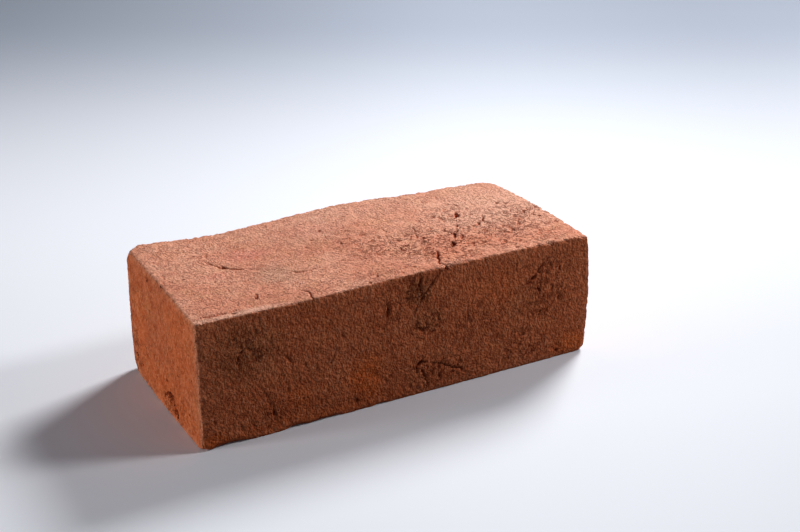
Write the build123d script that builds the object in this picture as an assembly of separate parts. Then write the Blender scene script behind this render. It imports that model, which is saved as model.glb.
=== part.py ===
from build123d import *
from math import sqrt
import os

# A hand-moulded, solid clay brick lying on its bed face.
# Millimetres. +X runs along the brick, the long face towards -Y is its front and +Z is up.

# Size of the brick over its faces, before the rises and bows below
LENGTH = 230.0
WIDTH = 103.0
HEIGHT = 71.0

# Where the top changes shape, as distances from the left end
DIP = 50.0
HUMP = LENGTH / 2 + 10.0
SHOULDER = LENGTH - 36.0
DROP = LENGTH - 10.0
STATIONS = [0.0, DIP, HUMP, SHOULDER, DROP, LENGTH]

# How far the top rises above HEIGHT at each station, along its front, middle and back
TOP_RISE_FRONT = [-0.4, -0.7, 0.7, 0.8, 0.3, -1.2]
TOP_RISE_MIDDLE = [0.4, -1.2, 0.8, 0.6, 0.5, 0.0]
TOP_RISE_BACK = [1.9, -0.7, 2.4, -0.1, -0.9, -1.6]

# How far each end stands out past LENGTH: at the floor, at mid-height and at the top
LEFT_BOW_FRONT = [0.5, 0.4, 0.8]
LEFT_BOW_MIDDLE = [1.6, 0.6, -0.1]
LEFT_BOW_BACK = [0.9, 1.3, 0.7]
RIGHT_BOW_FRONT = [0.5, 3.4, -0.3]
RIGHT_BOW_MIDDLE = [0.4, 1.7, 0.3]
RIGHT_BOW_BACK = [0.0, 0.6, 0.2]

# Rounding of the upright arrises, and of those round the top and round the bed face
ROUND_FRONT_LEFT = 1.6
ROUND_FRONT_RIGHT = 2.5
ROUND_BACK_LEFT = 3.0
ROUND_BACK_RIGHT = 11.0
ROUND_TOP = 1.0
ROUND_BED = 0.8

# How far each cutter stands clear of the face that it cuts
CLEAR = 6.0

# Frames of the faces. On each, u runs to the right and v upwards as seen from outside the
# brick, or backwards on the top, and w points out of the clay. They start at the lower left
# corner of their face, except TOP_RIGHT, which starts at the front right corner.
TOP_LEFT = Plane((-LENGTH / 2, -WIDTH / 2, HEIGHT), x_dir=(1, 0, 0), z_dir=(0, 0, 1))
TOP_RIGHT = Plane((LENGTH / 2, -WIDTH / 2, HEIGHT), x_dir=(1, 0, 0), z_dir=(0, 0, 1))
FRONT = Plane((-LENGTH / 2, -WIDTH / 2, 0), x_dir=(1, 0, 0), z_dir=(0, -1, 0))
LEFT_END = Plane((-LENGTH / 2, WIDTH / 2, 0), x_dir=(0, -1, 0), z_dir=(-1, 0, 0))
RIGHT_END = Plane((LENGTH / 2, -WIDTH / 2, 0), x_dir=(0, 1, 0), z_dir=(1, 0, 0))
BACK = Plane((LENGTH / 2, WIDTH / 2, 0), x_dir=(-1, 0, 0), z_dir=(0, 1, 0))

# Drying cracks, each with its face, its depth, and u, v and width at points along it
CRACKS = {
    "long crack of the top": (
        TOP_RIGHT,
        5.0,
        [
            (-47.7, 65.9, 0),
            (-49.2, 60.8, 1.4),
            (-51.8, 57.7, 2.0),
            (-54.8, 52.7, 1.0),
            (-57.8, 45.6, 1.3),
            (-61.9, 40.6, 1.2),
            (-65.3, 36.1, 1.4),
            (-68.8, 30.1, 0.9),
            (-72.8, 24.7, 1.8),
            (-76.3, 18.7, 0),
        ],
    ),
    "crack through the front arris": (
        TOP_RIGHT,
        6.0,
        [
            (-86.2, 19.8, 0),
            (-87.7, 14.8, 1.3),
            (-90.2, 10.3, 2.0),
            (-92.5, 5.2, 1.2),
            (-90.5, 0.6, 1.6),
            (-89.3, -CLEAR, 1.6),
        ],
    ),
    "branch of the long crack": (
        TOP_RIGHT,
        2.6,
        [(-67.2, 45.1, 0), (-67.4, 40.6, 0.9), (-66.4, 36.6, 0.8), (-66.1, 34.6, 0)],
    ),
    "strand beside the long crack": (
        TOP_RIGHT,
        2.4,
        [(-61.9, 33.6, 0), (-63.1, 31.1, 0.8), (-64.6, 28.9, 1.1), (-65.9, 27.1, 0)],
    ),
    "arc before the long crack": (
        TOP_RIGHT,
        1.8,
        [(-63.9, 23.1, 0), (-62.9, 20.1, 0.9), (-63.4, 17.6, 0.8), (-65.9, 15.9, 0.7), (-68.9, 17.3, 0)],
    ),
    "flap of the top": (
        TOP_RIGHT,
        3.0,
        [
            (-54.4, 40.6, 0),
            (-51.4, 39.6, 0.8),
            (-48.4, 40.8, 1.5),
            (-45.7, 42.4, 1.1),
            (-40.4, 46.7, 1.0),
            (-36.8, 53.3, 0),
        ],
    ),
    "right crack of the top": (
        TOP_RIGHT,
        1.6,
        [(-14.3, 45.3, 0), (-11.8, 47.7, 0.9), (-8.7, 49.4, 0.7), (-6, 47.6, 0.8), (-2.6, 49.8, 0)],
    ),
    "bend right of the top": (
        TOP_RIGHT,
        1.7,
        [(-23.1, 41, 0), (-21.6, 42.1, 1.0), (-20.3, 40.2, 1.0), (-18.3, 40.2, 0)],
    ),
    "short crack near the front arris": (
        TOP_RIGHT,
        1.6,
        [(-57.2, 14.5, 0), (-56, 11.5, 1.0), (-56.9, 8.5, 0)],
    ),
    "shallow crack near the right end": (
        TOP_RIGHT,
        1.2,
        [(-20.3, 12.8, 0), (-17.8, 14.3, 0.8), (-13.8, 14.4, 0.8), (-10.9, 12.8, 0)],
    ),
    "short crack of the middle": (
        TOP_RIGHT,
        1.4,
        [(-81.6, 56.1, 0), (-81.3, 52.9, 0.8), (-82.1, 49.3, 0.9), (-82.9, 46.5, 0)],
    ),
    "short crack left of the middle": (
        TOP_RIGHT,
        1.4,
        [(-100.5, 33.6, 0), (-101.3, 29.8, 0.9), (-99.8, 27.2, 0)],
    ),
    "curved crack of the top": (
        TOP_LEFT,
        5.0,
        [
            (31.2, 67.7, 0),
            (33.6, 62.5, 0.9),
            (35.3, 60.1, 1.2),
            (38.1, 56.8, 1.8),
            (40.3, 54.4, 1.0),
            (42.9, 52.9, 0.8),
            (47.5, 51, 0),
        ],
    ),
    "tail of the curved crack": (
        TOP_LEFT,
        1.2,
        [(48.5, 50.3, 0), (53, 47, 0.7), (57, 45.4, 0.6), (63.4, 39.1, 0)],
    ),
    "short crack of the top": (
        TOP_LEFT,
        3.0,
        [(66.8, 36.2, 0), (68.8, 33.3, 1.1), (72.7, 32.3, 0.7), (81, 32.5, 0)],
    ),
    "left crack over the front arris": (
        TOP_LEFT,
        3.5,
        [(60.8, 14.7, 0), (62.7, 10.1, 0.8), (63.5, 7.2, 0.9), (62.4, 3.3, 0.8), (61.9, -CLEAR, 1.0)],
    ),
    "slanting crack of the front": (
        FRONT,
        4.0,
        [
            (142, HEIGHT + CLEAR, 1.6),
            (139, HEIGHT, 1.5),
            (135, HEIGHT - 4, 1.0),
            (130, HEIGHT - 8, 0.9),
            (125.5, HEIGHT - 13.5, 1.0),
            (122, HEIGHT - 19, 0),
        ],
    ),
    "hooked crack of the front": (
        FRONT,
        3.0,
        [
            (120, 14, 0),
            (121.5, 17.5, 1.0),
            (124.5, 18.8, 1.2),
            (126, 16.5, 1.1),
            (124.8, 12, 1.0),
            (126.8, 7, 0.9),
            (128.5, 3, 0),
        ],
    ),
    "low crack of the front": (
        FRONT,
        2.5,
        [(128, 18.5, 0), (134, 16, 0.7), (140, 13, 0.8), (146, 9.5, 0.6), (151, 7, 0)],
    ),
    "dark crack beside the slanting one": (
        FRONT,
        2.0,
        [(124, 69.5, 0), (122.8, 65, 1.1), (122, 60, 0)],
    ),
    "left crack of the front": (
        FRONT,
        2.5,
        [(25, 54.5, 0), (22.6, 51.3, 0.8), (20.6, 48, 0.8), (19.5, 43.8, 0)],
    ),
    "crack of the front's middle": (
        FRONT,
        1.4,
        [(75.4, 42, 0), (74, 37, 0.8), (72.2, 34, 0.8), (70.2, 30.8, 0)],
    ),
    "dark slot of the front": (FRONT, 2.0, [(103.5, 58, 0), (103.9, 53.8, 1.1), (103.5, 49, 0)]),
    "slant past the front's pit": (
        FRONT,
        1.6,
        [(202.8, 63.2, 0), (198, 58, 0.8), (196.3, 54.8, 0.9), (193.5, 52.3, 1.0), (188.8, 49.2, 0)],
    ),
    "crack over the end's cavity": (
        LEFT_END,
        4.0,
        [(51.8, 7.5, 0), (54.9, 10.8, 0.9), (60.5, 12.8, 1.4), (64.5, 11.1, 1.2), (69.8, 5.8, 0)],
    ),
    "crack of the back": (BACK, 3.0, [(70, 62, 0), (74, 55, 0.9), (73, 48, 1.1), (78, 41, 0)]),
}

# Pits that stones and straws left, each with its face, u, v, mouth radius and depth
PITS = {
    "left of the top": (TOP_LEFT, 38.7, 16.2, 1.9, 2.2),
    "middle of the top": (TOP_RIGHT, -82.8, 39.0, 1.3, 1.6),
    "right of the top": (TOP_RIGHT, -13.6, 45.6, 1.6, 1.4),
    "right of the top, nearer": (TOP_RIGHT, -25.6, 31.6, 1.4, 1.2),
    "right of the top, further": (TOP_RIGHT, -19.2, 64.7, 1.3, 1.1),
    "front of the top": (TOP_RIGHT, -57.6, 17.7, 1.2, 1.4),
    "front of the top, left": (TOP_RIGHT, -79.3, 15.7, 1.1, 1.3),
    "front of the top, nearest": (TOP_RIGHT, -45.3, 3.3, 1.2, 1.2),
    "right of the front": (FRONT, 194.0, 52.3, 1.7, 1.6),
    "left of the front": (FRONT, 38.2, 12.0, 1.5, 1.3),
    "foot of the front": (FRONT, 211.0, 4.0, 1.3, 1.1),
    "upright pit of the front": (FRONT, 189.0, 20.8, 1.2, 1.1),
    "upper left end": (LEFT_END, 32.8, 66.2, 1.9, 1.3),
    "middle of the left end": (LEFT_END, 41.2, 42.2, 1.6, 1.0),
    "left end, over the middle": (LEFT_END, 33.6, 48.1, 1.6, 0.8),
    "left end, over the cavity": (LEFT_END, 56.6, 18.4, 1.7, 1.0),
    "foot of the left end": (LEFT_END, 9.7, 12.7, 1.8, 1.6),
    "left end's cavity": (LEFT_END, 61.1, 11.1, 3.0, 3.0),
    "left end's cavity, nearer": (LEFT_END, 68.7, 7.0, 2.6, 2.4),
    "right end": (RIGHT_END, 40.0, 30.0, 2.2, 1.5),
    "back": (BACK, 160.0, 25.0, 2.4, 1.7),
}

# Bites out of the front arrises: distance from the left end, depth and the ball's radius
TOP_BITES = [(53.0, 0.9, 9.0), (LENGTH - 89.0, 1.1, 7.0), (LENGTH - 27.0, 1.0, 10.0)]
BED_BITES = [(14.0, 1.9, 40.0), (52.0, 1.6, 16.0), (68.0, 1.2, 45.0), (100.0, 1.0, 9.0)]

# Worn corners: the side along X, Y and Z that each is on, then the ball's depth and radius
WORN_CORNERS = [
    (-1, -1, -1, 2.4, 14.0),
    (1, -1, -1, 2.2, 12.0),
    (-1, 1, -1, 4.0, 20.0),
    (-1, 1, 1, 3.0, 30.0),
    (1, 1, 1, 3.0, 30.0),
    (1, -1, 1, 1.8, 7.0),
]


def elevation(across, top_rise, left_bow, right_bow):
    """Outline of the brick seen from the front, in the upright plane at Y = across."""
    left, right = -LENGTH / 2, LENGTH / 2
    left_side = [(left - bow, z) for bow, z in zip(left_bow, [0, HEIGHT / 2])]
    right_side = [(right + bow, z) for bow, z in zip(right_bow, [0, HEIGHT / 2])]
    top = [(left + along, HEIGHT + rise) for along, rise in zip(STATIONS, top_rise)]
    top[0] = (left - left_bow[2], top[0][1])
    top[-1] = (right + right_bow[2], top[-1][1])
    left_foot, right_foot = (left_side[0][0], -CLEAR), (right_side[0][0], -CLEAR)
    outline = [
        Polyline(left_side[0], left_foot, right_foot, right_side[0]),
        Spline(*right_side, top[-1]),
        Spline(*top),
        Spline(*left_side, top[0]),
    ]
    return Plane.XZ.offset(-across) * make_face(outline)


def blank():
    """The moulded block before wear: three elevations joined smoothly, arrises rounded."""
    block = loft(
        [
            elevation(-WIDTH / 2, TOP_RISE_FRONT, LEFT_BOW_FRONT, RIGHT_BOW_FRONT),
            elevation(0, TOP_RISE_MIDDLE, LEFT_BOW_MIDDLE, RIGHT_BOW_MIDDLE),
            elevation(WIDTH / 2, TOP_RISE_BACK, LEFT_BOW_BACK, RIGHT_BOW_BACK),
        ]
    )
    block = split(block, Plane.XY, keep=Keep.TOP)
    uprights = {
        (-1, -1): ROUND_FRONT_LEFT,
        (1, -1): ROUND_FRONT_RIGHT,
        (-1, 1): ROUND_BACK_LEFT,
        (1, 1): ROUND_BACK_RIGHT,
    }
    for (x_side, y_side), radius in uprights.items():
        corner = Vector(x_side * LENGTH / 2, y_side * WIDTH / 2, HEIGHT / 2)
        block = fillet(block.edges().sort_by_distance(corner)[0], radius)
    top = block.faces().sort_by_distance(Vector(0, 0, HEIGHT))[0]
    block = fillet(top.edges(), ROUND_TOP)
    bed = block.faces().sort_by(Axis.Z)[0]
    return fillet(bed.edges(), ROUND_BED)


def crack_cutter(face, depth, points):
    """A thin wall that follows the crack's path, as wide at each point as the crack."""
    one_side, other_side = [], []
    for i, (u, v, width) in enumerate(points):
        before, after = points[max(i - 1, 0)], points[min(i + 1, len(points) - 1)]
        run, rise = after[0] - before[0], after[1] - before[1]
        reach = width / 2 / sqrt(run * run + rise * rise)
        one_side.append((u - rise * reach, v + run * reach))
        if width > 0:
            other_side.append((u + rise * reach, v - run * reach))
    outline = make_face(Polyline(*one_side, *reversed(other_side), close=True))
    return extrude(face.offset(-depth) * outline, depth + CLEAR)


def pit_cutter(face, u, v, mouth, depth):
    """A ball that leaves a round pit of the given mouth radius and depth."""
    ball = (mouth**2 + depth**2) / (2 * depth)
    return face * Pos(u, v, ball - depth) * Sphere(ball)


def bite_cutter(along, depth, radius, z_side):
    """A ball that bites squarely into the front arris of the top or of the bed face."""
    reach = (radius - depth) / sqrt(2)
    arris_z = HEIGHT if z_side > 0 else 0
    centre = (-LENGTH / 2 + along, -WIDTH / 2 - reach, arris_z + z_side * reach)
    return Pos(centre) * Sphere(radius)


def corner_cutter(x_side, y_side, z_side, depth, radius):
    """A ball that wears a corner away, to a depth measured along the corner's diagonal."""
    reach = (radius - depth) / sqrt(3)
    corner_z = HEIGHT if z_side > 0 else 0
    centre = (
        x_side * (LENGTH / 2 + reach),
        y_side * (WIDTH / 2 + reach),
        corner_z + z_side * reach,
    )
    return Pos(centre) * Sphere(radius)


def brick():
    """The whole brick, set down with the middle of its bed face at the origin."""
    cutters = [crack_cutter(*crack) for crack in CRACKS.values()]
    cutters += [pit_cutter(*pit) for pit in PITS.values()]
    cutters += [bite_cutter(*bite, 1) for bite in TOP_BITES]
    cutters += [bite_cutter(*bite, -1) for bite in BED_BITES]
    cutters += [corner_cutter(*corner) for corner in WORN_CORNERS]
    body = blank()
    for cutter in cutters:
        body = body - cutter
    box = body.bounding_box()
    return Pos(-box.center().X, -box.center().Y, -box.min.Z) * body


os.makedirs("parts", exist_ok=True)
export_step(brick(), "parts/brick.step")
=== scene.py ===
from math import cos, pi, radians, sin

import bpy
import numpy as np
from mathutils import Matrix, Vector


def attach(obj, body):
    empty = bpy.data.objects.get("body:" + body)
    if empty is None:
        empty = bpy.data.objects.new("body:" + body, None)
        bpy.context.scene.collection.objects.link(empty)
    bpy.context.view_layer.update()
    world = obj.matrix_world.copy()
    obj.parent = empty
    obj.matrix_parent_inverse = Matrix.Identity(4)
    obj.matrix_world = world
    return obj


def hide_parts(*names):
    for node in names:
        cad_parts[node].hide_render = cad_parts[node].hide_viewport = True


# The brick's surface is worked out in millimetres, with +X along the brick, its front face
# towards -Y, +Z up and the middle of its bed face at the origin, and scaled to metres last.
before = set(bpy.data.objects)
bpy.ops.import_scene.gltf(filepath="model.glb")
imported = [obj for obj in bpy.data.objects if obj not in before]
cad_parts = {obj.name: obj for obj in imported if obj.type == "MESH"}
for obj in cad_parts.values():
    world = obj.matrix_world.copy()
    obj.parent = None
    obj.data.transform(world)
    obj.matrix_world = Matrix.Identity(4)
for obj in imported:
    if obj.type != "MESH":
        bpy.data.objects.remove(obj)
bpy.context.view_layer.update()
MM = 0.001

# Size over the faces, before the rises and bows below
LENGTH = 230.0
WIDTH = 103.0
HEIGHT = 71.0

# Where the middle of the length lies along X, because the box round the bowed ends is centred
SHIFT = -0.88
LEFT, RIGHT, FRONT, BACK = SHIFT - LENGTH / 2, SHIFT + LENGTH / 2, -WIDTH / 2, WIDTH / 2

# Where the top changes shape along the brick, and how far it rises there above HEIGHT
STATIONS = [LEFT, LEFT + 50.0, LEFT + 125.0, RIGHT - 36.0, RIGHT - 10.0, RIGHT]
TOP_RISE = {
    "front": [-0.4, -0.7, 0.7, 0.8, 0.3, -1.2],
    "middle": [0.4, -1.2, 0.8, 0.6, 0.5, 0.0],
    "back": [1.9, -0.7, 2.4, -0.1, -0.9, -1.6],
}

# How far each end stands out at the floor, at mid-height and at the top
LEFT_BOW = {"front": [0.5, 0.4, 0.8], "middle": [1.6, 0.6, -0.1], "back": [0.9, 1.3, 0.7]}
RIGHT_BOW = {"front": [0.5, 1.95, -0.9], "middle": [0.4, 1.7, 0.3], "back": [0.0, 0.6, 0.2]}

# Rounding of the upright arrises by their sides along X and Y, and of those round the faces
UPRIGHT_ROUND = {(-1, -1): 1.6, (1, -1): 1.3, (-1, 1): 3.0, (1, 1): 11.0}
TOP_ROUND = 1.0
BED_ROUND = 0.8

# Wear of the arrises and corners: a place, the way that it faces, a ball's radius and its bite
BITES = [
    ((LEFT + 53.0, FRONT, HEIGHT), (0, -1, 1), 9.0, 0.9),
    ((LEFT + 141.0, FRONT, HEIGHT), (0, -1, 1), 7.0, 1.1),
    ((LEFT + 203.0, FRONT, HEIGHT), (0, -1, 1), 10.0, 1.0),
    ((LEFT + 14.0, FRONT, 0), (0, -1, -1), 40.0, 1.9),
    ((LEFT + 52.0, FRONT, 0), (0, -1, -1), 16.0, 1.6),
    ((LEFT + 68.0, FRONT, 0), (0, -1, -1), 45.0, 1.2),
    ((LEFT + 100.0, FRONT, 0), (0, -1, -1), 9.0, 1.0),
    ((LEFT, FRONT, 0), (-1, -1, -1), 14.0, 2.4),
    ((RIGHT, FRONT, 0), (1, -1, -1), 10.0, 1.7),
    ((LEFT, BACK, 0), (-1, 1, -1), 20.0, 4.0),
    ((LEFT, BACK, HEIGHT), (-1, 1, 1), 30.0, 3.0),
    ((RIGHT, BACK, HEIGHT), (1, 1, 1), 30.0, 3.0),
    ((RIGHT, FRONT, HEIGHT), (1, -1, 1), 7.0, 1.8),
    ((LEFT + 51.5, FRONT, HEIGHT), (0, -1, 1), 2.6, 1.1),
    ((LEFT + 57.5, FRONT, HEIGHT), (0, -1, 1), 2.2, 1.0),
    ((LEFT + 197.0, FRONT, HEIGHT + 0.6), (0, -1, 1), 2.6, 1.0),
    ((LEFT + 204.5, FRONT, HEIGHT + 0.4), (0, -1, 1), 3.0, 1.1),
    ((LEFT + 213.5, FRONT, HEIGHT + 0.2), (0, -1, 1), 2.4, 0.9),
]

# Rounding of each bite's rim, and how far outside its ball the points are looked at
BITE_ROUND = 1.0
BITE_MARGIN = 3.0

# Spacing of the surface's points before it is thinned, and the most triangles that it keeps
CELL = 0.45
MOST_TRIANGLES = 196000

# Steps that settle the points on the block, and the least steepness that a step divides by
SETTLING_STEPS = 4
LEAST_STEEPNESS = 0.25

# Corners of a cell's quad on the low and on the high side of the box, both turned outward
QUAD_RINGS = [[(0, 0), (0, 1), (1, 1), (1, 0)], [(0, 0), (1, 0), (1, 1), (0, 1)]]

# The camera: its place in millimetres, how many degrees its line of sight is turned from +Y
# and tipped down, its lens and sensor, and how many metres off the nearest thing it shows is
VIEW_FROM = (SHIFT - 305.9, -599.8, 355.1)
VIEW_AZIMUTH = -28.83
VIEW_DOWN = 23.91
LENS = 60.6
SENSOR_WIDTH = 36.0
NEAREST_SHOWN = 0.01

# The level ways along the camera's line of sight and to its right
AWAY = (-sin(radians(VIEW_AZIMUTH)), cos(radians(VIEW_AZIMUTH)), 0)
ASIDE = (cos(radians(VIEW_AZIMUTH)), sin(radians(VIEW_AZIMUTH)), 0)

# Lamps: name, azimuth and elevation in degrees, distance and width in metres, and level
LAMPS = [
    ("back_right", 29.0, 37.8, 1.4, 0.48, 1.12),
    ("front_right", -23.4, 38.8, 1.3, 0.3, 0.4),
    ("front_low", -62.0, 5.0, 1.3, 0.4, 0.044),
    ("left_low", 172.0, 7.0, 1.3, 0.25, 0.49),
]

# Brightness of the sky's light, and the share of red, green and blue in it
SKY_LEVEL = 0.05
SKY_TINT = (0.92, 1.0, 1.2)

# The backdrop, into which the floor fades far away
BACKDROP = (0.80, 0.83, 0.88, 1.0)

# The floor's colours: what the camera sees near, and far away where it is darkened with painted
# shade, and what the light meets
FLOOR_NEAR = (0.89, 0.91, 0.97, 1.0)
FLOOR_FAR_PAINTED_SHADE = (0.33, 0.365, 0.435, 1.0)
FLOOR_LIT = (0.22, 0.22, 0.23, 1.0)
BLACK = (0.0, 0.0, 0.0, 1.0)

# Where painted shade darkens the floor away from the camera and to its right, where it fades
# into the backdrop and how far it reaches, all in metres from the brick
DARKENS_AWAY = (0.1, 0.8)
DARKENS_ASIDE = (0.02, 0.4)
FADES = (1.1, 2.4)
FLOOR_REACH = 6.0

# How much of its brightness the floor loses to painted shade on the right
ASIDE_SHADE = 0.28


# Noise

class Grain:
    """Smooth noise and broken cells read from blocks of random numbers, the same on every run."""

    SIDE = 64

    def __init__(self, seed):
        self.random = np.random.default_rng(seed)
        self.block = self.random.uniform(-1, 1, (self.SIDE,) * 3).astype(np.float32)
        self.seeds = self.random.uniform(0.1, 0.9, (self.SIDE,) * 3 + (3,)).astype(np.float32)

    def at(self, points, size):
        """Noise from -1 to 1 at the points, with lumps of the given size or three sizes."""
        place = points / np.asarray(size) + self.random.uniform(0, self.SIDE, 3)
        cell = np.floor(place).astype(np.int64)
        part = place - cell
        part = part * part * (3 - 2 * part)
        total = 0
        for corner in np.ndindex(2, 2, 2):
            step = np.array(corner)
            weight = np.prod(np.where(step == 1, part, 1 - part), axis=1)
            i, j, k = ((cell + step) % self.SIDE).T
            total = total + weight * self.block[i, j, k]
        return total

    def layers(self, points, size, count, gain=0.5):
        """Noise of several sizes, each half as large as the last and weaker by gain."""
        size = np.asarray(size, dtype=float)
        strengths = [gain**n for n in range(count)]
        total = sum(s * self.at(points, size / 2**n) for n, s in enumerate(strengths))
        return total / sum(strengths)

    def crumbs(self, points, size):
        """How far each point is from the border of its crumb, and the crumb's own number."""
        place = points / np.asarray(size) + self.random.uniform(0, self.SIDE, 3)
        home = np.floor(place).astype(np.int64)
        nearest, second = np.full(len(points), 9.0), np.full(len(points), 9.0)
        number = np.zeros(len(points))
        for step in np.ndindex(3, 3, 3):
            cell = home + np.array(step) - 1
            i, j, k = (cell % self.SIDE).T
            gap = np.linalg.norm(place - cell - self.seeds[i, j, k], axis=1)
            closer = gap < nearest
            second = np.where(closer, nearest, np.minimum(second, gap))
            number = np.where(closer, self.block[i, j, k], number)
            nearest = np.minimum(nearest, gap)
        return second - nearest, number


def ramp(value, low, high):
    """0 below low, 1 above high and a smooth rise between."""
    t = np.clip((value - low) / (high - low), 0, 1)
    return t * t * (3 - 2 * t)


# The block's form

def across(values, y):
    """A value given at the front, middle and back, carried smoothly across the width."""
    t = y / (WIDTH / 2)
    front, middle, back = values["front"], values["middle"], values["back"]
    return front * (t * t - t) / 2 + middle * (1 - t * t) + back * (t * t + t) / 2


def along_top(rises, x):
    """A rise given at the stations, carried smoothly along the brick."""
    rise = np.full_like(x, rises[0])
    for low, high, start, end in zip(STATIONS, STATIONS[1:], rises, rises[1:]):
        rise += (end - start) * ramp(x, low, high)
    return rise


def up_the_end(bows, z):
    """A bow given at the floor, mid-height and top, carried smoothly up the end."""
    t = 2 * z / HEIGHT - 1
    low, middle, high = bows
    return low * (t * t - t) / 2 + middle * (1 - t * t) + high * (t * t + t) / 2


def round_join(a, b, radius):
    """Where two half-spaces meet, their shared arris rounded to a radius."""
    inner_a, inner_b = np.maximum(a + radius, 0), np.maximum(b + radius, 0)
    return np.minimum(np.maximum(a, b), -radius) + np.hypot(inner_a, inner_b)


def top_height(x, y):
    """How high the top lies over each place."""
    return HEIGHT + across({side: along_top(TOP_RISE[side], x) for side in TOP_RISE}, y)


def end_bow(bows, y, z):
    """How far an end stands out at each place."""
    return across({side: up_the_end(bows[side], z) for side in bows}, y)


def face_distances(points):
    """How far each point lies outside the end, the long side, the top and the bed face."""
    x, y, z = points.T
    left, right = LEFT - end_bow(LEFT_BOW, y, z), RIGHT + end_bow(RIGHT_BOW, y, z)
    return np.where(x < 0, left - x, x - right), np.abs(y) - WIDTH / 2, z - top_height(x, y), -z


def block_distance(points):
    """Roughly how far each point lies outside the worn block."""
    end, side, top, bed = face_distances(points)
    radius = np.zeros(len(points))
    for (x_side, y_side), value in UPRIGHT_ROUND.items():
        here = (points[:, 0] >= 0) == (x_side > 0)
        radius[here & ((points[:, 1] >= 0) == (y_side > 0))] = value
    outline = round_join(end, side, radius)
    distance = round_join(round_join(outline, top, TOP_ROUND), bed, BED_ROUND)
    for place, way, reach, deep in BITES:
        way = np.array(way) / np.linalg.norm(way)
        centre = np.array(place) + way * (reach - deep)
        near = np.flatnonzero(((points - centre) ** 2).sum(axis=1) < (reach + BITE_MARGIN) ** 2)
        gap = np.linalg.norm(points[near] - centre, axis=1)
        distance[near] = round_join(distance[near], reach - gap, BITE_ROUND)
    return distance


def arris_gap(points):
    """How far each point of the surface lies from the nearest arris."""
    return np.maximum(-np.sort(np.stack(face_distances(points)), axis=0)[2], 0)


def slopes(points, reach=0.02):
    """The direction in which the distance from the block grows, for each point."""
    steps = np.eye(3) * reach
    rises = [block_distance(points + s) - block_distance(points - s) for s in steps]
    return np.stack(rises, axis=1) / (2 * reach)


def box_of_cells(counts):
    """Points and outward quads over a box of cells, each point held once."""
    rings = []
    for axis in range(3):
        a, b = (axis + 1) % 3, (axis + 2) % 3
        i, j = (m.ravel() for m in np.meshgrid(*(np.arange(counts[n]) for n in (a, b))))
        for side, ring in enumerate(QUAD_RINGS):
            quad = np.zeros((i.size, 4, 3), dtype=np.int64)
            for corner, (step_a, step_b) in enumerate(ring):
                quad[:, corner, a] = i + step_a
                quad[:, corner, b] = j + step_b
                quad[:, corner, axis] = side * counts[axis]
            rings.append(quad)
    corners = np.concatenate(rings)
    rows, layers = counts[1] + 1, counts[2] + 1
    key = (corners[..., 0] * rows + corners[..., 1]) * layers + corners[..., 2]
    keys, quads = np.unique(key, return_inverse=True)
    points = np.stack([keys // (rows * layers), keys // layers % rows, keys % layers], axis=1)
    return points / np.array(counts), quads.reshape(-1, 4)


def block_surface():
    """Points, quads and outward normals of the worn block, without its fine relief."""
    parts, quads = box_of_cells([int(round(s / CELL)) for s in (LENGTH, WIDTH, HEIGHT)])
    x, y, z = LEFT + LENGTH * parts[:, 0], FRONT + WIDTH * parts[:, 1], HEIGHT * parts[:, 2]
    left, right = LEFT - end_bow(LEFT_BOW, y, z), RIGHT + end_bow(RIGHT_BOW, y, z)
    z = top_height(x, y) * parts[:, 2]
    points = np.stack([left + (right - left) * parts[:, 0], y, z], axis=1)
    for _ in range(SETTLING_STEPS):
        slope = slopes(points)
        steepness = np.maximum((slope**2).sum(axis=1), LEAST_STEEPNESS)
        points = points - slope * (block_distance(points) / steepness)[:, None]
    normals = slopes(points)
    return points, quads, normals / np.linalg.norm(normals, axis=1)[:, None]


# Faces: for each, where its u and v start, and which ways they and its outward side point
FACES = {
    "top": ((LEFT, FRONT, HEIGHT), (1, 0, 0), (0, 1, 0), (0, 0, 1)),
    "front": ((LEFT, FRONT, 0), (1, 0, 0), (0, 0, 1), (0, -1, 0)),
    "left": ((LEFT, BACK, 0), (0, -1, 0), (0, 0, 1), (-1, 0, 0)),
    "right": ((RIGHT, FRONT, 0), (0, 1, 0), (0, 0, 1), (1, 0, 0)),
    "back": ((RIGHT, BACK, 0), (-1, 0, 0), (0, 0, 1), (0, 1, 0)),
}

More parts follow.
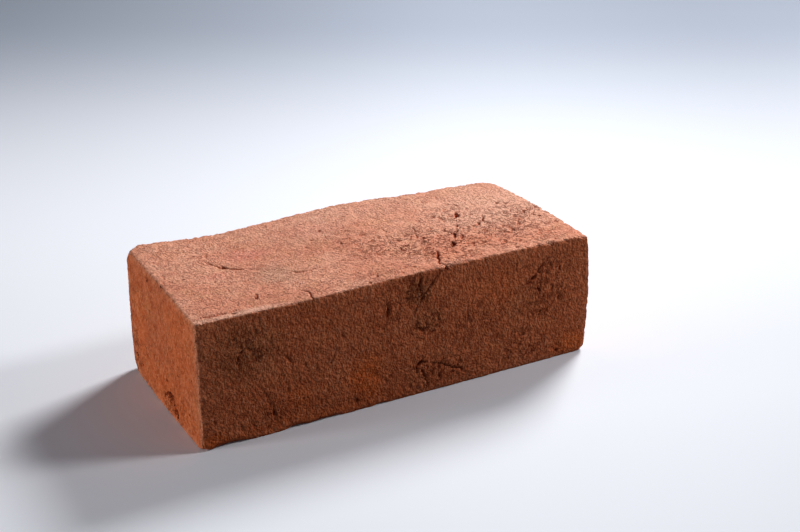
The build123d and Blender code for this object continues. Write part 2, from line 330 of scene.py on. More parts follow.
# Cracks of each face: depth, and points of u, v and full width
CRACKS = {
    "top": [
        (2.0, [(182.5, 65, 0.3), (181.6, 62.4, 1.1), (180.4, 60, 1.4), (178.9, 57.9, 2.1),
               (177.6, 56.2, 0.8), (176.3, 54.4, 0.2)]),
        (0.9, [(176.3, 54.4, 0.3), (174.3, 50.5, 0.4), (173, 48, 0.5)]),
        (1.7, [(173.2, 46.8, 0.4), (172.3, 45, 1.4), (171.4, 43.7, 1.2), (170.7, 42.5, 0.3)]),
        (1.7, [(169.6, 41.2, 0.3), (168.4, 39.2, 1.2), (167, 37.3, 1.2), (166.2, 36.4, 0.3)]),
        (1.7, [(164.8, 37.2, 0.5), (164, 35.8, 1.4), (163.7, 34.2, 1.2), (162.6, 32, 0.9),
               (161.3, 30.4, 0.6), (160.1, 29, 0.2)]),
        (2.2, [(158.9, 28.2, 0.4), (157.9, 26.3, 1.3), (157.1, 24.2, 2), (156.2, 22.7, 1.3),
               (155, 20.8, 0.4)]),
        (0.8, [(154.6, 20.2, 0.3), (152.4, 17.5, 0.5)]),
        (1.6, [(162.8, 45.1, 0.3), (162.6, 40.6, 0.9), (163.6, 36.6, 0.8), (163.8, 35.1, 0.8)]),
        (1.4, [(168.1, 33.6, 0.3), (166.9, 31.1, 0.8), (165.4, 28.9, 1.1), (164.1, 27.1, 0.3)]),
        (2.4, [(144.1, 19.6, 0.4), (143.3, 17.3, 1.1), (142.3, 15.4, 1.4), (141.1, 13.6, 1),
               (139.9, 11.2, 2.1), (138.7, 8.6, 1.2), (137.5, 5.5, 0.8), (138.1, 2.7, 0.7),
               (139.5, 0.4, 1), (140.4, -2, 0.9)]),
        (1.6, [(175.6, 40.6, 0.4), (178.6, 39.6, 0.7), (181.6, 40.8, 1.4), (184.3, 42.4, 1.1),
               (186.6, 44.2, 0.5), (189.6, 46.7, 1.1), (191.7, 49.7, 0.5), (193.2, 53.3, 0.3)]),
        (1.4, [(166.1, 23.1, 0.4), (167.1, 20.1, 0.9), (166.6, 17.6, 0.8), (164.1, 15.9, 0.6),
               (161.1, 17.3, 0.9)]),
        (1.4, [(172.8, 14.3, 0.4), (174, 11.5, 1), (173.2, 8.8, 0.6)]),
        (1.0, [(160.6, 4.6, 0.7), (163.1, 5.6, 0.8), (165.1, 7.6, 0.4)]),
        (1.4, [(215.8, 43.3, 0.5), (216.4, 45.8, 1.7), (218.2, 47.7, 0.9), (221.3, 49.4, 0.6),
               (224, 47.6, 0.7), (227.4, 49.8, 1.2)]),
        (1.3, [(206.9, 41, 0.5), (208.4, 42.1, 1.2), (209.7, 40.2, 1), (211.7, 40.2, 0.4)]),
        (1.2, [(206.1, 34, 0.4), (204.3, 32, 1.2), (203.2, 30.2, 0.8)]),
        (0.8, [(195.3, 35, 0.4), (194.2, 32, 0.7)]),
        (0.9, [(195.8, 28, 0.4), (196.6, 25.5, 0.8), (198, 24, 0.4)]),
        (0.9, [(210, 13, 0.5), (212.2, 14.3, 0.8), (216.2, 14.4, 0.7), (218.9, 12.9, 0.4)]),
        (1.0, [(148.4, 55.8, 0.4), (148.7, 52.9, 0.7), (147.9, 49.3, 0.8), (147.2, 47, 0.3)]),
        (0.9, [(145.7, 45.5, 0.3), (144.9, 42.6, 0.7), (144.2, 40.1, 0.4)]),
        (1.0, [(129.3, 33.3, 0.4), (128.7, 29.8, 0.9), (130, 27.6, 0.7)]),
        (0.9, [(139.5, 30.3, 0.5), (140.5, 27.8, 0.8)]),
        (0.8, [(170.4, 35.6, 0.4), (172.6, 34.6, 0.7), (174.6, 35.4, 0.5)]),
        (1.0, [(132.8, 44.3, 0.5), (134.2, 41.9, 0.9)]),
        (0.8, [(131.4, 22.9, 0.4), (133.8, 20.9, 0.8), (134.8, 19.4, 0.3)]),
        (0.9, [(187.3, 74, 0.4), (188.3, 71.1, 0.9)]),
        (0.8, [(167.1, 74.7, 0.5), (167.8, 72.5, 0.8)]),
        (1.2, [(2.8, 6.2, 0.6), (6.8, 5.8, 0.9), (11.3, 5.2, 1.1), (15.8, 5.2, 1),
               (24.4, 6.3, 0.4)]),
        (0.8, [(94.5, 34.7, 0.5), (96, 33.8, 0.9), (98.2, 32.6, 0.4)]),
        (0.8, [(111.5, 69.2, 0.5), (113.4, 68.4, 1), (115.4, 67.1, 0.7)]),
        (2.1, [(31.4, 67, 0.4), (33.6, 62.5, 0.8), (35.3, 60.1, 1.2), (38.1, 56.8, 1.9),
               (39.8, 54.8, 0.9), (42.9, 52.9, 0.8), (46.5, 51.5, 0.5)]),
        (0.7, [(46.5, 51.5, 0.5), (49, 49.9, 0.4), (53, 47, 0.7), (57, 45.4, 0.5),
               (62.9, 39.4, 0.5)]),
        (1.4, [(67, 35.9, 0.4), (68.8, 33.3, 1.1), (72.7, 32.3, 0.7), (75.6, 32.4, 0.6),
               (81, 32.5, 0.3)]),
        (1.7, [(60.8, 14.3, 0.3), (62.7, 10.1, 0.8), (63.5, 7.2, 1), (62.4, 3.3, 0.7),
               (61.9, -2, 0.9)]),
        (1.7, [(37.6, 14.5, 1), (38.7, 16.7, 1.6), (40, 19, 0.8)]),
    ],
    "front": [
        (1.7, [(141.5, 72, 0.9), (138, 70, 0.7), (134.4, 67.8, 0.5), (131, 64.5, 0.7),
               (127.5, 60, 0.6), (124.1, 56.1, 0.6), (121, 52, 0.3)]),
        (1.4, [(123.8, 69, 0.5), (122.8, 65, 1.1), (122.2, 60.5, 0.6)]),
        (2.2, [(120.8, 13.8, 0.5), (121.4, 17, 1), (124, 18.9, 1.2), (127.3, 18.1, 0.6)]),
        (2.0, [(123.8, 15, 0.3), (125.6, 12.4, 1), (126.3, 9, 0.8), (127.2, 6, 0.4)]),
        (0.9, [(129, 17.5, 0.4), (134, 16, 0.7), (140, 13, 0.7), (146, 9.5, 0.7), (151, 7, 0.4)]),
        (1.0, [(142.5, 9.5, 0.5), (145, 8, 1.1), (146.5, 6, 0.6)]),
        (1.2, [(22.3, 52.3, 0.4), (22.6, 54.6, 0.7), (25.2, 54.9, 0.7), (25.4, 52, 0.6),
               (22.6, 51.3, 0.8), (20.6, 48, 0.8), (19.7, 44.3, 0.3)]),
        (0.8, [(25.2, 52, 0.5), (28, 50, 0.6), (33, 47.6, 0.3)]),
        (0.9, [(45.3, 43.8, 0.4), (48, 40, 0.8), (49.6, 37.3, 0.5)]),
        (0.8, [(27.5, 33.5, 0.3), (31, 29, 0.6), (34, 24.3, 0.6), (37, 19.2, 0.5),
               (38, 17, 0.4)]),
        (1.5, [(38, 16, 0.5), (38.2, 13, 1), (38.8, 9.6, 0.6)]),
        (0.9, [(75.2, 41.5, 0.4), (74, 37, 0.7), (72.2, 34, 0.8), (70.4, 31.2, 0.3)]),
        (0.8, [(77, 47.3, 0.4), (78.3, 45.3, 0.7)]),
        (1.4, [(103.6, 57.5, 0.5), (103.9, 54, 1), (103.6, 49.5, 0.5)]),
        (1.2, [(61.3, 72, 1), (61.5, 68, 0.4)]),
        (1.0, [(202.5, 62.8, 0.4), (198, 58, 0.8), (196.3, 54.8, 0.9), (193.5, 52.3, 1.3),
               (189.2, 49.4, 0.5)]),
        (1.0, [(174, 60.3, 0.4), (173, 57, 0.7), (171.8, 53.5, 0.4)]),
        (1.0, [(190, 22.8, 0.5), (188.4, 19.8, 1.1)]),
        (0.9, [(197, 42, 0.4), (197.6, 39.6, 1)]),
        (0.9, [(130, 38, 0.4), (127.2, 34, 0.8), (132, 37, 0.4)]),
        (0.8, [(119, 49, 0.4), (121, 44, 0.9), (120.4, 39, 0.5)]),
        (0.8, [(133.4, 47, 0.4), (134.2, 42, 0.8), (131.6, 38.6, 0.4)]),
        (0.9, [(193, 32, 0.4), (193.6, 29.8, 0.9)]),
        (0.8, [(195, 46.4, 0.5), (196, 44.3, 0.8)]),
    ],
    "left": [
        (2.6, [(53, 8.5, 0.6), (57.5, 11, 2), (61, 13.4, 2.6), (64.5, 11.4, 2.2),
               (67.5, 9, 1.6)]),
        (2.4, [(64, 8.4, 1.2), (67.8, 7.6, 2), (70.8, 6.4, 2.6), (69.6, 3.6, 1.2)]),
        (0.9, [(28.7, 21, 0.4), (25.7, 23.4, 0.9), (22.2, 24.9, 0.4)]),
        (0.8, [(67.6, 33.9, 0.4), (65.6, 27.2, 0.7), (63.6, 21.5, 0.4)]),
        (0.9, [(11.8, 32.9, 0.4), (12.4, 28, 0.9), (10.6, 22.6, 0.5)]),
    ],
    "back": [
        (1.8, [(70, 62, 0.4), (74, 55, 1), (73, 48, 1.2), (78, 41, 0.4)]),
        (1.2, [(150, 12, 0.4), (157, 15, 0.9), (163, 13, 0.8), (170, 17, 0.4)]),
    ],
    "right": [
        (1.2, [(62, 55, 0.4), (66, 48, 1), (65, 41, 0.7), (69, 35, 0.3)]),
    ],
}

# Pits of each face: u, v, mouth radius along u and along v, and depth
PITS = {
    "top": [
        (147.2, 39, 1.1, 1.2, 1.9), (172.4, 17.7, 1, 1.1, 1.7), (150.7, 15.9, 1, 0.8, 1.4),
        (153, 13.4, 0.7, 0.9, 1.2), (184.7, 3.3, 1.1, 0.9, 1.3), (218.9, 38, 0.7, 1, 1.2),
        (221.2, 35.8, 1.3, 0.7, 0.9), (210.8, 64.7, 1.3, 1.2, 1.2), (201.8, 60.3, 0.6, 0.8, 0.9),
        (190.4, 66.4, 0.7, 0.7, 0.9), (176.7, 30.2, 0.9, 0.7, 1.1), (104.7, 54.3, 0.9, 1.1, 1),
        (92.8, 66.1, 1.4, 0.7, 0.7), (100.5, 65.9, 1.3, 0.7, 0.7), (20.9, 3.6, 1, 0.8, 1.1),
        (85.8, 59.8, 1, 0.9, 0.7), (164.5, 62, 0.9, 0.7, 0.7), (178.3, 67.5, 0.8, 0.6, 0.8),
        (44.8, 15.7, 0.7, 0.7, 0.8), (101.2, 75.3, 1.2, 1.4, 0.8), (77.1, 37.5, 1.1, 0.7, 0.7),
        (34.5, 75.3, 0.9, 1.4, 0.6), (26.7, 42.2, 0.8, 1.1, 0.6), (12.9, 51.2, 0.8, 0.9, 0.6),
        (123.6, 7.3, 0.8, 1.8, 0.8), (101.7, 7.4, 0.8, 1.7, 0.8), (95.3, 2.7, 0.9, 1.3, 0.9),
        (224.7, 24.6, 1.2, 1.6, 0.7),
    ],
    "front": [
        (193.5, 52.3, 1.3, 1, 1.9), (38.5, 11.5, 0.9, 1.6, 1.2), (104, 53.5, 0.8, 1.5, 1),
        (85.5, 6, 0.9, 1.3, 1), (211, 4, 1.2, 1, 1.2), (197.5, 55, 0.8, 0.7, 0.8),
        (202.5, 54, 0.7, 0.9, 0.8), (198, 44.5, 0.7, 1, 0.9), (201.5, 47, 0.6, 0.9, 0.7),
        (199, 31.5, 0.8, 0.8, 0.8), (206, 46, 0.6, 0.8, 0.7), (212, 43.5, 0.7, 0.7, 0.7),
        (174.5, 38.5, 0.7, 0.9, 0.7), (172, 42, 0.6, 0.8, 0.7),
    ],
    "left": [
        (73, 28.5, 1.6, 1.1, 0.8), (101, 14, 0.9, 0.9, 0.8), (32.8, 66.2, 1.9, 1.7, 1.6),
        (37.9, 62.7, 0.9, 1, 0.8), (33.6, 48.1, 1.8, 1.3, 0.9), (41.2, 42.2, 1.7, 1, 1.1),
        (56.6, 18.4, 1.8, 1.5, 1.1), (59.8, 10.2, 2.4, 1.6, 2), (67.4, 5.8, 2.4, 1.8, 1.8),
        (9.7, 12.7, 1.8, 1.6, 1.6), (17.3, 9.8, 1.8, 1.2, 1.1), (42.3, 15.1, 1, 1, 0.7),
        (77.3, 47, 1.6, 0.9, 0.7),
    ],
    "right": [
        (40, 30, 2.2, 2.2, 1.6), (71, 52, 1.4, 1.8, 1.1),
    ],
    "back": [
        (160, 25, 2.4, 2.4, 1.8), (60, 20, 1.6, 1.3, 1.2), (120, 50, 1.4, 2.2, 1.2),
    ],
}

# Where the clay is rough: u, v, reach along each and strength
ROUGH = {
    "top": [
        (150, 28, 34, 34, 1.0),
        (128, 40, 34, 20, 0.8),
        (190, 30, 44, 34, 0.8),
        (215, 48, 22, 22, 0.7),
        (176, 60, 26, 18, 0.6),
        (110, 56, 20, 14, 0.35),
        (80, 8, 60, 12, 0.25),
    ],
    "front": [
        (121, 62, 13, 13, 1.0),
        (127, 42, 15, 16, 0.9),
        (132, 11, 24, 13, 0.9),
        (204, 46, 20, 26, 0.65),
        (190, 12, 22, 14, 0.5),
        (158, 34, 26, 22, 0.45),
        (24, 50, 16, 16, 0.6),
        (38, 12, 10, 12, 0.4),
        (106, 54, 12, 14, 0.5),
    ],
    "left": [(58, 7, 16, 9, 0.8), (84, 12, 14, 16, 0.3), (8, 20, 10, 30, 0.4)],
    "back": [(90, 40, 40, 30, 0.5), (160, 20, 30, 20, 0.4)],
    "right": [(60, 44, 30, 26, 0.4)],
}

# Where tools were dragged along the front: u, v, reach along each and strength
DRAGGED = {
    "front": [
        (140, 12, 40, 12, 1.0),
        (66, 14, 40, 8, 0.8),
        (40, 52, 30, 10, 0.6),
        (112, 24, 24, 8, 0.8),
    ],
}

# Where the clay's colour drifts: u, v, reach along each and strength; the wide pale patches on the
# top's back and right are partly pale dust and partly painted sheen
TONES = {
    "pink": {"top": [(54, 67, 17, 10, 0.9), (30, 48, 12, 8, 0.6), (100, 76, 22, 12, 0.5)]},
    "grey": {
        "top": [(57, 37, 18, 16, 0.8), (92, 70, 30, 16, 0.4)],
        "front": [
            (24, 50, 30, 24, 0.7),
            (122, 61, 12, 11, 0.9),
            (128, 44, 16, 12, 0.5),
            (188, 42, 20, 16, 0.4),
        ],
    },
    "orange": {
        "front": [
            (91, 18, 14, 20, 0.9),
            (52, 14, 9, 14, 0.5),
            (3, 3, 16, 10, 0.9),
            (60, 2, 90, 7, 0.5),
            (224, 6, 20, 10, 0.8),
            (170, 52, 30, 16, 0.3),
        ],
        "left": [(60, 10, 60, 22, 0.5), (80, 50, 30, 40, 0.4), (20, 30, 14, 40, 0.4)],
        "top": [(168, 22, 18, 12, 0.6), (150, 12, 20, 10, 0.5), (195, 12, 30, 10, 0.3)],
    },
    # On the top: a pale strip by the front arris, and wide pale patches toward the back and right
    # that are partly pale dust and partly painted sheen
    "pale": {"top": [(24, 1.5, 36, 4.5, 1.0), (212, 66, 80, 60, 0.7), (140, 90, 90, 24, 0.45)]},
}

# The masks that colour the clay
MASKS = ["hollow_painted_shade", "recess_painted_shade", "top_sand_and_painted_sheen", "worn", "rough", "ends", "dragged", *TONES]

# The seed of the fine relief, and the sizes of what it is made of, some along X, Y and Z
GRAIN_SEED = 11
WANDER = 9
SWELL = 34
LUMP = 8
GRIT = 2.4
CRUMB = (4.6, 3.6, 4.2)
FLAKE = (1.7, 1.5, 2.8)
FOLD = (2.6, 3.2, 6.0)
STREAK = (2.0, 2.2, 16.0)
PINHOLE = 2.0
CHIP = 4
NIBBLE = 2.2

# How far from an arris its wear fades
WORN_REACH = 1.3

# How far cracks and pits stray from their places, how far round a crack the points are looked
# at, and how far out an oval patch keeps its full strength
CRACK_STRAY = 1.3
PIT_STRAY = 0.7
CRACK_MARGIN = 3
PATCH_CORE = 0.25

# What every crack's half width gains, and the half width from which a crack is fully deep
CRACK_LEAST = 0.1
CRACK_FULL = 0.75

# Depths at which a hollow and a fine recess take their full painted shade
FULL_HOLLOW_SHADE = 1.4
FULL_RECESS_SHADE = 0.5


def on_face(points, face):
    """Each point's u, v and height over a face."""
    start, u_way, v_way, out = (np.array(part, dtype=float) for part in FACES[face])
    return ((points - start) @ np.stack([u_way, v_way, out], axis=1)).T


def turned_to(normals, face):
    """How squarely each normal points out of a face, from -1 to 1."""
    return normals @ np.array(FACES[face][3], dtype=float)


def facing(normals, face):
    """1 where the surface looks the way the face does, and 0 where it looks elsewhere."""
    return ramp(turned_to(normals, face), 0.45, 0.85)


def strays(points, grain, size, *layers):
    """A smooth shift for each point, along each axis on its own."""
    return np.stack([grain.layers(points, size, *layers) for _ in range(3)], axis=1)


def crack_shape(path, place, ragged):
    """How fully each place lies in a crack that follows points of u, v and width, 0 to 1."""
    best = np.zeros(len(place))
    for start, end in zip(path, path[1:]):
        run = end[:2] - start[:2]
        way = place - start[:2]
        t = np.clip(way @ run / (run @ run), 0, 1)
        gap = np.linalg.norm(way - t[:, None] * run, axis=1)
        half = (start[2] + (end[2] - start[2]) * t) / 2 * ragged + CRACK_LEAST
        shape = np.clip(1.2 - gap / half, 0, 1) * np.clip(half / CRACK_FULL, 0, 1)
        best = np.maximum(best, shape)
    return best


def crack_depths(points, normals, grain):
    """How deep the cracks go under each point. Their sides are ragged."""
    depth = np.zeros(len(points))
    wander = strays(points, grain, 2.4, 3, 0.7) * CRACK_STRAY
    ragged = np.maximum(1.15 + 1.1 * grain.layers(points, 2.0, 2, 0.7), 0.35)
    for face, cracks in CRACKS.items():
        places = on_face(points + wander, face)[:2].T
        turned = turned_to(normals, face) > 0.35
        for deep, path in cracks:
            path = np.array(path)
            low = path[:, :2].min(axis=0) - CRACK_MARGIN
            high = path[:, :2].max(axis=0) + CRACK_MARGIN
            near = np.flatnonzero(turned & ((places > low) & (places < high)).all(axis=1))
            place = np.ascontiguousarray(places[near])
            depth[near] = np.maximum(depth[near], deep * crack_shape(path, place, ragged[near]))
    return depth


def pit_depths(points, normals, grain):
    """How deep the single pits go under each point."""
    depth = np.zeros(len(points))
    wander = strays(points, grain, 2.2, 2) * PIT_STRAY
    for face, pits in PITS.items():
        u, v, _ = on_face(points + wander, face)
        turned = turned_to(normals, face) > 0.3
        for u_at, v_at, u_reach, v_reach, deep in pits:
            gap = np.hypot((u - u_at) / u_reach, (v - v_at) / v_reach)
            depth = np.maximum(depth, turned * deep * (1 - ramp(gap, 0.45, 1.15)))
    return depth


def patches(points, normals, face, places):
    """1 in the middle of each oval patch of a face, by u, v, reaches and strength, fading out."""
    u, v, _ = on_face(points, face)
    total = np.zeros(len(points))
    for u_at, v_at, u_reach, v_reach, strength in places:
        gap = np.hypot((u - u_at) / u_reach, (v - v_at) / v_reach)
        total = np.maximum(total, strength * (1 - ramp(gap, PATCH_CORE, 1.0)))
    return total * facing(normals, face)


def marked(points, normals, faces):
    """How strongly the patches of several faces mark each point, from 0 to 1."""
    shown = sum(patches(points, normals, face, places) for face, places in faces.items())
    return np.clip(shown, 0, 1)


class Skin:
    """The block's surface: its points, which way they look and how rough the clay is there."""

    def __init__(self, points, normals):
        self.points = points
        self.grain = Grain(seed=GRAIN_SEED)
        self.top, front, self.left, self.right, back = (facing(normals, face) for face in FACES)
        self.upright = front + 0.7 * back + 0.7 * self.right
        self.bed = ramp(-normals[:, 2], 0.6, 0.95)
        self.wander = strays(points, self.grain, WANDER, 2)
        self.strayed = points + 2.2 * self.wander
        self.rough = marked(points + 5 * self.wander, normals, ROUGH)
        self.worn = np.exp(-arris_gap(points) / WORN_REACH)

    def layers(self, size, count, gain=0.5):
        """The grain's layers at the skin's own points."""
        return self.grain.layers(self.points, size, count, gain)


def crumbled(skin):
    """Crumbs where the clay is rough, and the gaps between them."""
    border, number = skin.grain.crumbs(skin.strayed, CRUMB)
    parted = ramp(skin.layers(6, 2), 0.0, 0.4)
    crumbling = skin.rough * np.maximum(skin.top, 0.8 * skin.upright)
    gaps = -(1 - ramp(border, 0.03, 0.14)) * parted * crumbling * 0.2
    return number * 0.12 * crumbling, gaps


def flaked(skin):
    """Small flakes, and the creases between them."""
    border, number = skin.grain.crumbs(skin.points + 0.8 * skin.wander, FLAKE)
    parted = ramp(skin.layers(5, 2), -0.2, 0.4)
    flakes = number * 0.05 * (skin.top + skin.upright)
    creases = -(1 - ramp(border, 0.04, 0.24)) * parted * (0.18 * skin.upright + 0.08 * skin.top)
    return flakes, creases * (1 + 0.3 * skin.rough)


def folded(skin):
    """Thin folds on the front, the back and the right end."""
    folds = np.abs(skin.grain.layers(skin.points + skin.wander, FOLD, 2))
    return -(1 - ramp(folds, 0.0, 0.07)) * (0.12 + 0.20 * skin.rough) * skin.upright


def pinholed(skin):
    """Pinholes, more of them and deeper where the clay is rough."""
    rarity = 0.62 - 0.12 * skin.rough
    return -ramp(skin.grain.at(skin.points, PINHOLE), rarity, 0.82) * (0.3 + 0.28 * skin.rough)


def chipped(skin):
    """Chips along the arrises, deepest on the top's right half and left end."""
    x, _, z = skin.points.T
    on_top = ramp(z, HEIGHT - 3, HEIGHT - 1.5)
    chips = ramp(skin.layers(CHIP, 3, 0.7), -0.12, 0.32)
    nibbles = ramp(skin.layers(NIBBLE, 2, 0.7), -0.3, 0.5)
    crumbly = on_top * np.maximum(ramp(x, -10, 40), ramp(-x, -LEFT - 4, -LEFT - 1.5))
    depth = 0.45 * nibbles + (0.3 + 0.5 * on_top + 0.5 * crumbly) * chips
    return -skin.worn * depth * (1 - 0.6 * skin.bed)


def relief(points, normals):
    """Height of the fine relief over the block, with the masks that colour it."""
    skin = Skin(points, normals)
    swell = skin.layers(SWELL, 2) * 0.22
    lumps = skin.layers(LUMP, 3, 0.6) * (0.07 + 0.07 * skin.rough)
    grit = skin.layers(GRIT, 2, 0.7) * (0.08 + 0.10 * skin.rough)
    crumbs, gaps = crumbled(skin)
    flakes, creases = flaked(skin)
    folds = folded(skin)
    streaks = skin.layers(STREAK, 2) * 0.09 * skin.left
    fine = flakes + gaps + creases + folds + pinholed(skin)
    chips = chipped(skin)
    cracks = crack_depths(points, normals, skin.grain)
    hollows = np.maximum(cracks, pit_depths(points, normals, skin.grain))

    height = (swell + lumps + grit + crumbs + fine + streaks) * (1 - skin.bed)
    height = np.where(height > 0, height * (1 - 0.7 * skin.worn), height)
    height = height + chips - hollows
    masks = {
        # How strongly hollows and fine recesses are darkened with painted shade
        "hollow_painted_shade": np.clip(hollows / FULL_HOLLOW_SHADE, 0, 1),
        "recess_painted_shade": np.clip(-fine / FULL_RECESS_SHADE, 0, 1),
        # The top's mask, for its sand and its painted sheen
        "top_sand_and_painted_sheen": skin.top,
        "worn": skin.worn * (1 - skin.bed),
        "rough": skin.rough,
        "ends": np.maximum(skin.left, skin.right),
        "dragged": marked(skin.strayed, normals, DRAGGED),
    }
    masks |= {tone: marked(skin.strayed, normals, faces) for tone, faces in TONES.items()}
    return height, masks


def surface_mesh(name, points, quads, masks):
    """A closed, smooth-shaded mesh in metres, its masks kept as point attributes."""
    mesh = bpy.data.meshes.new(name)
    mesh.vertices.add(len(points))
    mesh.vertices.foreach_set("co", (points * MM).astype(np.float32).ravel())
    mesh.loops.add(quads.size)
    mesh.loops.foreach_set("vertex_index", quads.astype(np.int32).ravel())
    mesh.polygons.add(len(quads))
    mesh.polygons.foreach_set("loop_start", np.arange(0, quads.size, 4, dtype=np.int32))
    for mask, values in masks.items():
        layer = mesh.attributes.new(mask, "FLOAT", "POINT")
        layer.data.foreach_set("value", values.astype(np.float32))
    mesh.update(calc_edges=True)
    mesh.validate()
    return mesh


def thin(piece, most):
    """Thins the piece where it is flattest, to at most so many triangles."""
    modifier = piece.modifiers.new("thin", "DECIMATE")
    modifier.ratio = min(1, most / (2 * len(piece.data.polygons)))
    graph = bpy.context.evaluated_depsgraph_get()
    mesh = bpy.data.meshes.new_from_object(piece.evaluated_get(graph))
    piece.modifiers.clear()
    piece.data = mesh
    mesh.shade_smooth()


# Materials

class Socket:
    """A node's output, whose arithmetic adds Math nodes to its material."""

    def __init__(self, shader, output):
        self.shader, self.output = shader, output

    def math(self, operation, *values):
        """What a Math node makes of the values."""
        return self.shader.node("ShaderNodeMath", {"operation": operation}, dict(enumerate(values)))

    def __add__(self, other):
        return self.math("ADD", self, other)

    def __radd__(self, other):
        return self.math("ADD", other, self)

    def __sub__(self, other):
        return self.math("SUBTRACT", self, other)

    def __rsub__(self, other):
        return self.math("SUBTRACT", other, self)

    def __mul__(self, other):
        return self.math("MULTIPLY", self, other)

    def __rmul__(self, other):
        return self.math("MULTIPLY", other, self)

    def __abs__(self):
        return self.math("ABSOLUTE", self)


class Shader:
    """The nodes of a material or world, each added by one method."""

    def __init__(self, block):
        self.block = block
        self.block.use_nodes = True
        self.tree = self.block.node_tree
        self.tree.nodes.clear()

    def node(self, kind, settings=None, sockets=None, output=0):
        """Adds a node: its settings first, then the values or links of its sockets."""
        node = self.tree.nodes.new(kind)
        for name, value in (settings or {}).items():
            setattr(node, name, value)
        for name, value in (sockets or {}).items():
            if isinstance(value, Socket):
                self.tree.links.new(value.output, node.inputs[name])
            else:
                node.inputs[name].default_value = value
        return Socket(self, node.outputs[output]) if node.outputs else None

    def attribute(self, name):
        """A mask of the mesh, from 0 to 1."""
        return self.node("ShaderNodeAttribute", {"attribute_name": name}, output="Fac")

    def vector_math(self, operation, *values, output="Vector"):
        """What a Vector Math node makes of the values."""
        sockets = dict(enumerate(values))
        return self.node("ShaderNodeVectorMath", {"operation": operation}, sockets, output)

    def noise(self, place, size, detail=2.0, rough=0.5):
        """Noise from 0 to 1 with lumps of the given size in millimetres."""
        sockets = {"Vector": place, "Scale": 1 / (size * MM), "Detail": detail, "Roughness": rough}
        return self.node("ShaderNodeTexNoise", None, sockets)

    def stretched(self, place, x, y, z):
        """The place scaled along each axis, so that noise is longer where a factor is under 1."""
        return self.vector_math("MULTIPLY", place, (x, y, z))

    def along(self, place, way):
        """How far the place is along a way, in metres."""
        return self.vector_math("DOT_PRODUCT", place, way, output="Value")

    def between(self, value, low, high):
        """The value's way from low to high, as a smooth 0 to 1."""
        sockets = {"Value": value, "From Min": low, "From Max": high}
        return self.node("ShaderNodeMapRange", {"interpolation_type": "SMOOTHSTEP"}, sockets)

    def mix(self, factor, first, second):
        """The first colour where the factor is 0 and the second where it is 1."""
        sockets = {0: factor, 6: first, 7: second}
        return self.node("ShaderNodeMix", {"data_type": "RGBA"}, sockets, output=2)

    def layered(self, tint, *layers):
        """The tint with each layer's colour mixed in, one after the other, by its factor."""
        for factor, shade in layers:
            tint = self.mix(factor, tint, colour(*shade))
        return tint

    def surface(self, kind, sockets):
        """A shader that covers the surface."""
        return self.node(kind, None, sockets)

    def complete(self, surface, output="ShaderNodeOutputMaterial"):
        """Ends the nodes in the surface, and returns the material or world."""
        self.node(output, None, {"Surface": surface})
        return self.block


def colour(red, green, blue):
    """A colour given as it shows on screen, from 0 to 255, as Blender's linear values."""
    shown = [c / 255 for c in (red, green, blue)]
    linear = [c / 12.92 if c <= 0.04045 else ((c + 0.055) / 1.055) ** 2.4 for c in shown]
    return (*linear, 1.0)


# How far the bump's full height stands out, in metres
BUMP_HEIGHT = 0.0015


def side_tint(shader, mask, clouds, mottle, tan):
    """The red clay of the upright faces."""
    light = shader.between(clouds, 0.35, 0.68)
    return shader.layered(
        shader.mix(light, colour(206, 110, 68), colour(212, 118, 76)),
        (mottle * (0.25 + 0.6 * mask["ends"]), (192, 94, 52)),
        (tan * (0.25 + 0.3 * mask["ends"]), (210, 128, 78)),
        (mask["grey"] * 0.8, (170, 104, 66)),
        (mask["orange"] * 0.75, (226, 106, 42)),
    )


def top_tint(shader, mask, clouds, mottle, tan):
    """The paler top: sandy clay, with painted sheen where the light from behind grazes it."""
    light = shader.between(clouds, 0.35, 0.65)
    return shader.layered(
        shader.mix(light, colour(222, 146, 118), colour(232, 166, 138)),
        (mottle * 0.5, (216, 140, 112)),
        (tan * 0.5, (226, 160, 122)),
        (mask["pink"] * 0.9, (234, 152, 130)),
        (mask["grey"] * 0.9, (208, 156, 130)),
        (mask["orange"] * 0.6, (216, 122, 84)),
        # Pale patches, toward the back and right partly pale dust and partly painted sheen
        (mask["pale"] * 0.6, (238, 190, 166)),
    )


def hairlines(shader, place, rough):
    """Thin creases that come and go, most where the clay is rough; their darkness is painted shade.
    """
    veins = shader.noise(shader.stretched(place, 1.0, 1.0, 0.6), 2.8, 3, 0.6) - 0.5
    shown = shader.between(shader.noise(place, 5, 2, 0.6), 0.36, 0.54)
    return shader.between(abs(veins), 0.07, 0.0) * shown * (0.35 + 0.65 * rough)


def fine_bump(shader, place, mask, creases):
    """Grit, wrinkles and drag marks too fine for the mesh."""
    turn = {"Vector": place, "Rotation": (0, radians(-14), 0), "Scale": (0.03, 0.5, 1.0)}
    dragged = shader.node("ShaderNodeMapping", None, turn)
    drag_marks = shader.noise(dragged, 0.9, 2, 0.7) * mask["dragged"]
    wrinkles = shader.noise(shader.stretched(place, 1.0, 0.8, 0.65), 1.9, 1, 0.5)
    grit = shader.noise(place, 1.15, 1, 0.5)
    height = (grit - 0.5) * (0.5 + 0.15 * mask["sides"])
    height = height + (wrinkles - 0.5) * (0.45 + 0.3 * mask["sides"])
    height = height - 0.7 * creases + 0.8 * drag_marks
    return shader.node(
        "ShaderNodeBump", None, {"Height": height, "Strength": 1.0, "Distance": BUMP_HEIGHT}
    )


